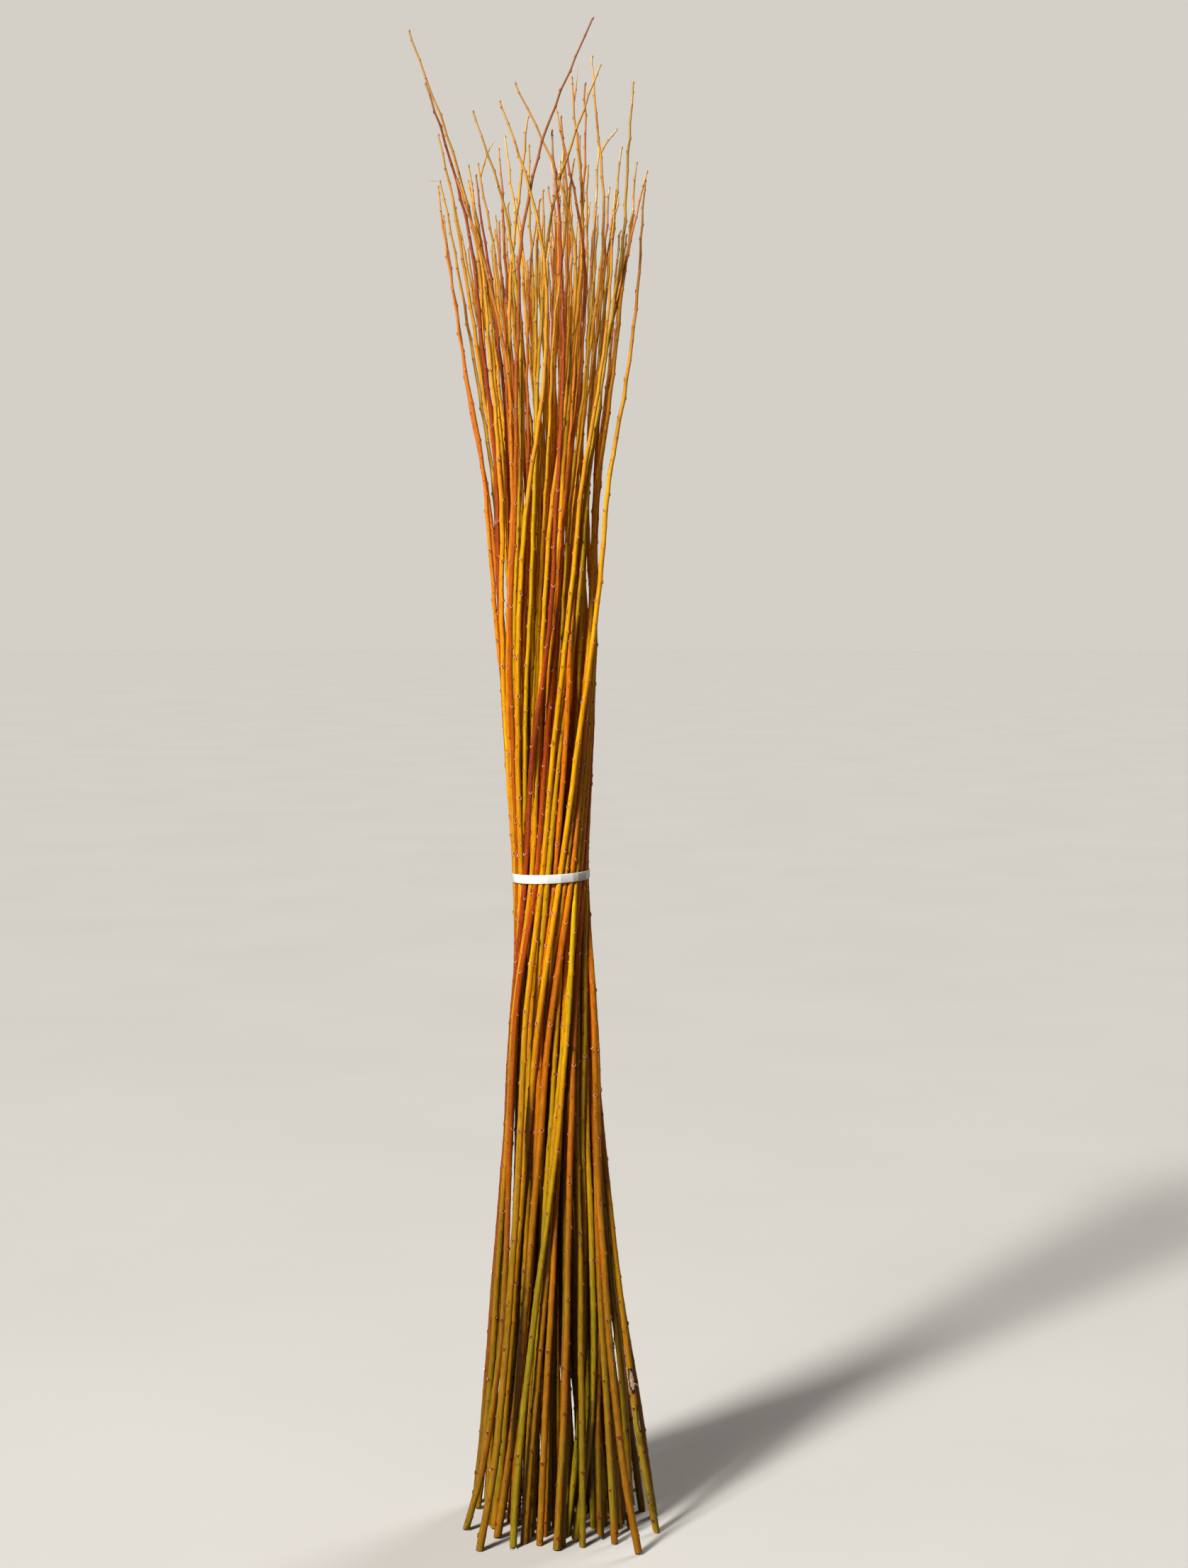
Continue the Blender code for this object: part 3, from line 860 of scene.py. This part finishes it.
def add_fibre(work, points, radius, layer, value):
    """Thin fibre with three sides and pointed ends, whose `layer` has this value all over."""
    run = (points[-1] - points[0]).normalized()
    side = run.orthogonal().normalized() * radius
    rings = []
    for point in points[1:-1]:
        ways = [Matrix.Rotation(math.radians(turn), 3, run) @ side for turn in (0, 120, 240)]
        rings.append([work.verts.new(point + way) for way in ways])
    ends = [work.verts.new(points[0]), work.verts.new(points[-1])]
    close_stack(work, rings, *ends)
    for vertex in [*sum(rings, []), *ends]:
        vertex[layer] = value


def wound_depth(share_up, share_round, place):
    """How far inside a wound a point lies: 0 or less on sound bark, 1 at its middle."""
    ragged = WOUND_RAGGED * noise.noise(place * 330.0)
    return 1.0 - math.hypot(share_up, share_round) + ragged


def middle_at(line, height):
    """Place at this height on the line through the middle of a rod."""
    x, y = (np.interp(height, line[:, 2], line[:, axis]) for axis in (0, 1))
    return Vector((x, y, height))


def open_wounds(work):
    kind = work.verts.layers.float["kind"]
    wound = work.verts.layers.float.new("wound")
    stain = work.verts.layers.float.new("stain")
    low, high = WOUND_ZONE
    skin = [face for face in work.faces if low < face.calc_center_median().z < high]
    skin = [face for face in skin if all(vertex[kind] < 0.5 for vertex in face.verts)]
    edges = list({edge for face in skin for edge in face.edges})
    bmesh.ops.subdivide_edges(work, edges=edges, cuts=WOUND_CUTS, use_grid_fill=True)
    line = shoots[WOUND_ROD]["place"]
    for vertex in work.verts:
        height = vertex.co.z
        if height > high:
            continue
        for bottom, top, strength in STAINS:
            reach = 1.0 - abs(height - (bottom + top) / 2) / (top - bottom)
            vertex[stain] = max(vertex[stain], strength * min(1.0, max(0.0, 2 * reach - 0.6)))
        if height < low or vertex[kind] > 0.5:
            continue
        outward = (vertex.co - middle_at(line, height)).normalized()
        angle = math.degrees(math.atan2(outward.y, outward.x))
        for bottom, top, facing, half in WOUNDS:
            share_up = (height - (bottom + top) / 2) / ((top - bottom) / 2)
            inside = wound_depth(share_up, (angle - facing) / half, vertex.co)
            rim = math.exp(-((inside - 0.10) / 0.16) ** 2)
            sunk = min(1.0, max(0.0, inside / 0.35))
            vertex.co += outward * (WOUND_RIM * rim - WOUND_DEPTH * sunk)
            vertex[wound] = max(vertex[wound], min(1.0, max(0.0, 0.5 + 1.4 * (inside - 0.20))))
    middle = middle_at(line, HANGING_HEIGHT)
    points = [middle + Vector(step) * MM for step in HANGING_STEPS]
    add_fibre(work, points, HANGING_RADIUS, wound, HANGING_SHADE)


def fray_foot(work):
    wood = work.verts.layers.float["wood"]
    foot = Vector(shoots[FRAYED_ROD]["place"][0])
    radius = float(shoots[FRAYED_ROD]["radius"][0])
    fray = np.random.default_rng(SEED + 1)
    for _ in range(FRAY_COUNT):
        angle = math.radians(fray.uniform(*FRAY_FACING))
        way = Vector((math.cos(angle), math.sin(angle), 0.0))
        start = Vector((foot.x, foot.y, fray.uniform(*FRAY_HEIGHT) * MM))
        start = start + way * radius * fray.uniform(*FRAY_INSET)
        length = fray.uniform(*FRAY_LENGTH) * MM
        bend = start + way * length * 0.55 + Vector((0, 0, fray.uniform(*FRAY_LIFT) * MM))
        tip = start + way * length + Vector((0, 0, -start.z + FRAY_TIP_HEIGHT))
        add_fibre(work, [start, bend, tip], fray.uniform(*FRAY_RADIUS) * MM, wood, 1.0)


damages = {WOUND_ROD: open_wounds, FRAYED_ROD: fray_foot}

# %% [markdown]
# Now the chains become rods. All chains get their modifier first, so that Blender evaluates them in
# one go. Then each result is taken as a plain mesh, its foot is cut, and it stands in for its solid.
# The thin rods end level with the floor, so one level cut does for a whole group of them. A cut is
# still drawn for each, which keeps the random numbers that follow as they are.

# %% Grow the rods
ROD_SIDES = 10
THIN_SIDES = 7
BUD_SINK = 0.92
ROD_CREASE = math.radians(62)
THIN_BARKS = ["golden_bark", "amber_bark", "olive_bark", "golden_bark", "russet_bark"]


def chain_object(name, chains):
    """Mesh of loose edges with one chain for each shoot, and the shoot's numbers as attributes."""
    places = np.concatenate([chain["place"] for chain in chains])
    edges = []
    start = 0
    for chain in chains:
        count = len(chain["place"])
        edges += [(start + index, start + index + 1) for index in range(count - 1)]
        start += count
    mesh = bpy.data.meshes.new(name + "_chain")
    mesh.from_pydata(places.tolist(), edges, [])
    for key in ("radius", "bud_size", "near", "along", "tone", "end"):
        values = np.concatenate([chain[key] for chain in chains])
        mesh.attributes.new(key, "FLOAT", "POINT").data.foreach_set("value", values)
    for key in ("run", "bud_way"):
        values = np.concatenate([chain[key] for chain in chains])
        mesh.attributes.new(key, "FLOAT_VECTOR", "POINT").data.foreach_set("vector", values.ravel())
    return show(bpy.data.objects.new(name + "_chain", mesh))


def start_rods(name, chains, bark, sides, bud_shape):
    chain = chain_object(name, chains)
    grow = chain.modifiers.new("rod with buds", "NODES")
    grow.node_group = rod_nodes
    grow[socket_id["Sides"]] = sides
    grow[socket_id["Bud sink"]] = BUD_SINK
    grow[socket_id["Bud"]] = bud_shape
    grow[socket_id["Bark"]] = bark
    return chain


def finish_rods(name, chain, graph, cuts, damage):
    mesh = bpy.data.meshes.new_from_object(chain.evaluated_get(graph))
    mesh.name = name
    for key in ("run", "bud_way", "bud_size", "radius"):
        if key in mesh.attributes:
            mesh.attributes.remove(mesh.attributes[key])
    cut_feet(mesh, cuts, damage)
    mesh.shade_smooth()
    mesh.set_sharp_from_angle(angle=ROD_CREASE)
    bpy.data.objects.remove(chain, do_unlink=True)
    return show(bpy.data.objects.new(name, mesh))


waiting = []
for name in rod_names:
    shoot = shoots[name]
    bark = barks[slot_of[name]]
    chains = [shoot, twigs[name]] if name in twigs else [shoot]
    chain = start_rods("willow_" + name, chains, bark, ROD_SIDES, bud)
    waiting.append(("willow_" + name, chain, cuts_of(name, shoot), slot_of[name], name))
for number, slot in enumerate(THIN_BARKS):
    group = [grow_shoot(*thin_line(*place), chance) for place in thin_places[number::len(THIN_BARKS)]]
    name = f"thin_rods_{number + 1}"
    chain = start_rods(name, group, barks[slot], THIN_SIDES, plain_bud)
    drawn = [cuts_of(name, shoot)[0] for shoot in group]
    middle, radius, way, _ = drawn[0]
    waiting.append((name, chain, [(middle, radius, way, 0.0)], slot, None))

graph = bpy.context.evaluated_depsgraph_get()
triangles = 0
for name, chain, cuts, slot, node in waiting:
    rods = finish_rods(name, chain, graph, cuts, damages.get(node))
    rods.data.calc_loop_triangles()
    triangles += len(rods.data.loop_triangles)
    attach(rods, BODY)
    if node:
        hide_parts(node)
print("pieces", len(waiting), "triangles", triangles)

# %% [markdown]
# The strap is 12 mm of flat white plastic pulled tight. It doesn't lie on a true circle: it touches
# each outer rod and runs straight to the next, which breaks its shine into soft facets. For any
# direction the outermost rod is known, and the point where it touches is its middle plus its radius
# in that direction. Those points, taken all the way round, are the strap's path. At the back its end
# climbs over its start, lies on it for four centimetres, and is welded down with a few ridges.

# %% The strap
STRAP_HEIGHT = 12 * MM
STRAP_THICKNESS = 0.8 * MM
STRAP_GAP = 0.25 * MM
STRAP_LAP_GAP = 0.05 * MM
STRAP_SECTION = (
    (0.0, -0.5), (0.32, -0.5), (0.85, -0.465), (1.0, -0.43),
    (1.0, 0.43), (0.85, 0.465), (0.32, 0.5), (0.0, 0.5),
)
STRAP_CREASE = math.radians(38)
STRAP_WHITES = ((0.70, 0.71, 0.70), (0.79, 0.79, 0.77))
STRAP_TILT = math.tan(math.radians(2.5))
STRAP_START = math.radians(68)
STRAP_LAP = math.radians(42)
STRAP_CLIMB = math.radians(18)
STRAP_STEP = math.radians(1.5)
WELD_RIDGES = 6
WELD_DEPTH = 0.22 * MM

outer = []
for name in rod_names:
    middles, radii = rod_lines[name]
    radius = float(np.interp(tie_middle.z, middles[:, 2], radii))
    outer.append((at_tie[name], radius))


def touch_point(angle):
    """Where the strap's inner face touches in this direction."""
    way = np.array([math.cos(angle), math.sin(angle)])
    middle, radius = max(outer, key=lambda rod: rod[0].dot(way) + rod[1])
    return middle + (radius + STRAP_GAP) * way, way


def strap_object():
    total = 2 * math.pi + STRAP_LAP
    steps = round(total / STRAP_STEP)
    work = bmesh.new()
    sections = []
    for index in range(steps + 1):
        turn = total * index / steps
        touch, way = touch_point(STRAP_START + turn)
        climb = min(1.0, max(0.0, (turn - 2 * math.pi + STRAP_CLIMB) / STRAP_CLIMB))
        lift = climb * climb * (3 - 2 * climb) * (STRAP_THICKNESS + STRAP_LAP_GAP)
        weld = min(1.0, max(0.0, (turn - 2 * math.pi) / STRAP_LAP))
        ridge = WELD_DEPTH * math.sin(math.pi * WELD_RIDGES * weld) ** 2 if 0 < weld < 0.9 else 0.0
        section = []
        for out, side in STRAP_SECTION:
            deep = STRAP_THICKNESS * out + lift
            if out > 0.5 and abs(side) < 0.45:
                deep -= ridge
            x, y = touch + way * deep
            height = tie_middle.z + (x - tie_middle.x) * STRAP_TILT + side * STRAP_HEIGHT
            section.append(work.verts.new((x, y, height)))
        sections.append(section)
    count = len(STRAP_SECTION)
    for before, after in zip(sections, sections[1:]):
        for index in range(count):
            following = (index + 1) % count
            work.faces.new((before[index], before[following], after[following], after[index]))
    work.faces.new(sections[0])
    work.faces.new(sections[-1][::-1])
    bmesh.ops.recalc_face_normals(work, faces=work.faces)
    strap = object_from("white_strap", work)
    strap.data.shade_smooth()
    strap.data.set_sharp_from_angle(angle=STRAP_CREASE)
    return show(strap)


def strap_material():
    shader = Shader("strap plastic")
    place = shader.place()
    cloudy = shader.noise(place, 60.0, 3.0)
    scuffs = shader.noise(place, 900.0, 2.0)
    colour = shader.mix(shader.rescale(cloudy, 0.35, 0.7), *STRAP_WHITES)
    shader.put("Base Color", colour)
    shader.put("Roughness", shader.rescale(scuffs, 0.3, 0.7, 0.16, 0.30))
    shader.put("Coat Weight", 0.25)
    shader.put("Coat Roughness", 0.12)
    shader.bump(scuffs, 0.12, 0.05 * MM)
    return shader.material


strap = strap_object()
strap.data.materials.append(strap_material())
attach(strap, BODY)
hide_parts("band")
print("strap faces", len(strap.data.polygons))

# %% [markdown]
# The studio is plain: a wide pale floor, a pale background of the same tone, and one soft main light
# from high on the left in front. A pale floor sends so much light back up that the gaps between the
# rods would fill with it, so the floor and the background are paler to look at than what they add as
# light. A weaker lamp lights the tips and another draws them off the background. Glossy bark doesn't
# mirror these two, because their reflection would draw white dashes along the thin tips.

# %% Floor, lamps and background
FLOOR_RADIUS = 60.0
FLOOR_COLOUR = (0.57, 0.56, 0.54)
FLOOR_BOUNCE = (0.15, 0.130, 0.105)
BACKGROUND = (0.660, 0.628, 0.577)
FILL_COLOUR = (1.0, 0.88, 0.76)
FILL_STRENGTH = 0.06
LAMP_WHITE = (1.0, 0.98, 0.95)


def floor_disc():
    work = bmesh.new()
    bmesh.ops.create_circle(work, cap_ends=True, segments=96, radius=FLOOR_RADIUS)
    floor = object_from("floor", work)
    shader = Shader("pale floor")
    tint = shader.rescale(shader.noise(shader.place(), 1.3, 4.0), 0.3, 0.7, 0.98, 1.02)
    colour = shader.mix(1.0, FLOOR_COLOUR, shader.vector(tint, tint, tint), "MULTIPLY")
    seen = shader.nodes.new("ShaderNodeLightPath").outputs["Is Camera Ray"]
    shader.put("Base Color", shader.mix(seen, FLOOR_BOUNCE, colour))
    shader.put("Roughness", 0.85)
    shader.put("Specular IOR Level", 0.15)
    floor.data.materials.append(shader.material)
    return show(floor)


def add_lamp(name, kind, place, target, power, colour):
    light = bpy.data.lights.new(name, kind)
    light.energy = power
    light.color = colour
    lamp = show(bpy.data.objects.new(name, light))
    lamp.location = place
    lamp.rotation_euler = (Vector(target) - Vector(place)).to_track_quat("-Z", "Y").to_euler()
    return light


floor_disc()
main_light = add_lamp("main light", "SUN", (-2.1, -2.8, 2.8), (0.0, 0.0, 0.3), 4.7, (1.0, 0.97, 0.92))
main_light.angle = math.radians(9)
top_light = add_lamp("top light", "AREA", (-1.1, -1.6, 2.7), (0.0, 0.0, 1.5), 26.0, LAMP_WHITE)
top_light.size = 0.8
back_light = add_lamp("back light", "SUN", (2.1, 2.3, 2.6), (0.0, 0.0, 1.0), 1.8, LAMP_WHITE)
back_light.angle = math.radians(24)
for name in ("top light", "back light"):
    bpy.data.objects[name].visible_glossy = False

world = bpy.data.worlds.new("studio")
world.use_nodes = True
nodes, links = world.node_tree.nodes, world.node_tree.links
seen = nodes["Background"]
seen.inputs["Color"].default_value = (*BACKGROUND, 1.0)
lighting = nodes.new("ShaderNodeBackground")
lighting.inputs["Color"].default_value = (*FILL_COLOUR, 1.0)
lighting.inputs["Strength"].default_value = FILL_STRENGTH
choice = nodes.new("ShaderNodeMixShader")
links.new(nodes.new("ShaderNodeLightPath").outputs["Is Camera Ray"], choice.inputs["Fac"])
links.new(lighting.outputs[0], choice.inputs[1])
links.new(seen.outputs[0], choice.inputs[2])
links.new(choice.outputs[0], nodes["World Output"].inputs["Surface"])
bpy.context.scene.world = world
bpy.context.scene.view_settings.view_transform = "Standard"
print("lamps set")
